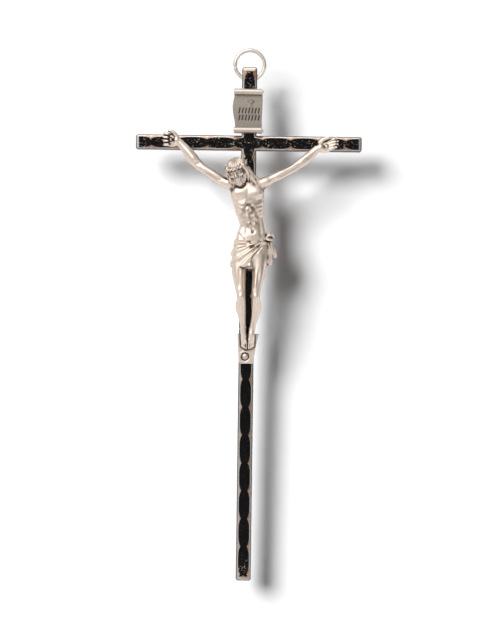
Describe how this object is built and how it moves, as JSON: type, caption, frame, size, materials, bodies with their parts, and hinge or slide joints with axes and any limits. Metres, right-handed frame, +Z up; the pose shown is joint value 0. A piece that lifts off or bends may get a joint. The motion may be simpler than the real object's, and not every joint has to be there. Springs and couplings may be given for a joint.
{
  "type": "hanging metal crucifix",
  "caption": "Slim wall crucifix: hammered black-and-silver bar cross with a cast silver figure, foot plate, curled title scroll and wire hanging ring.",
  "frame": {"origin": "where the nail bears: the top of the hanging ring's opening, in the middle of the wire's thickness", "axes": "+Z up along the upright, -Y the way the figure faces, +Y towards the wall, +X to the viewer's right along the crossbeam"},
  "size_m": [0.0894, 0.017, 0.2108],
  "materials": {
    "blackened_bar": "polished silver edges round a row of blackened, speckled hammer facets",
    "bright_wire": "polished",
    "matt_silver": "matt antique silver with darkened strokes",
    "antique_silver": "satin antique silver, darker in the recesses"
  },
  "bodies": {
    "root": {"cross": "blackened_bar", "hanging_ring": "bright_wire", "title_scroll": "matt_silver", "figure": "antique_silver", "foot_rivet": "antique_silver"}
  },
  "joints": []
}
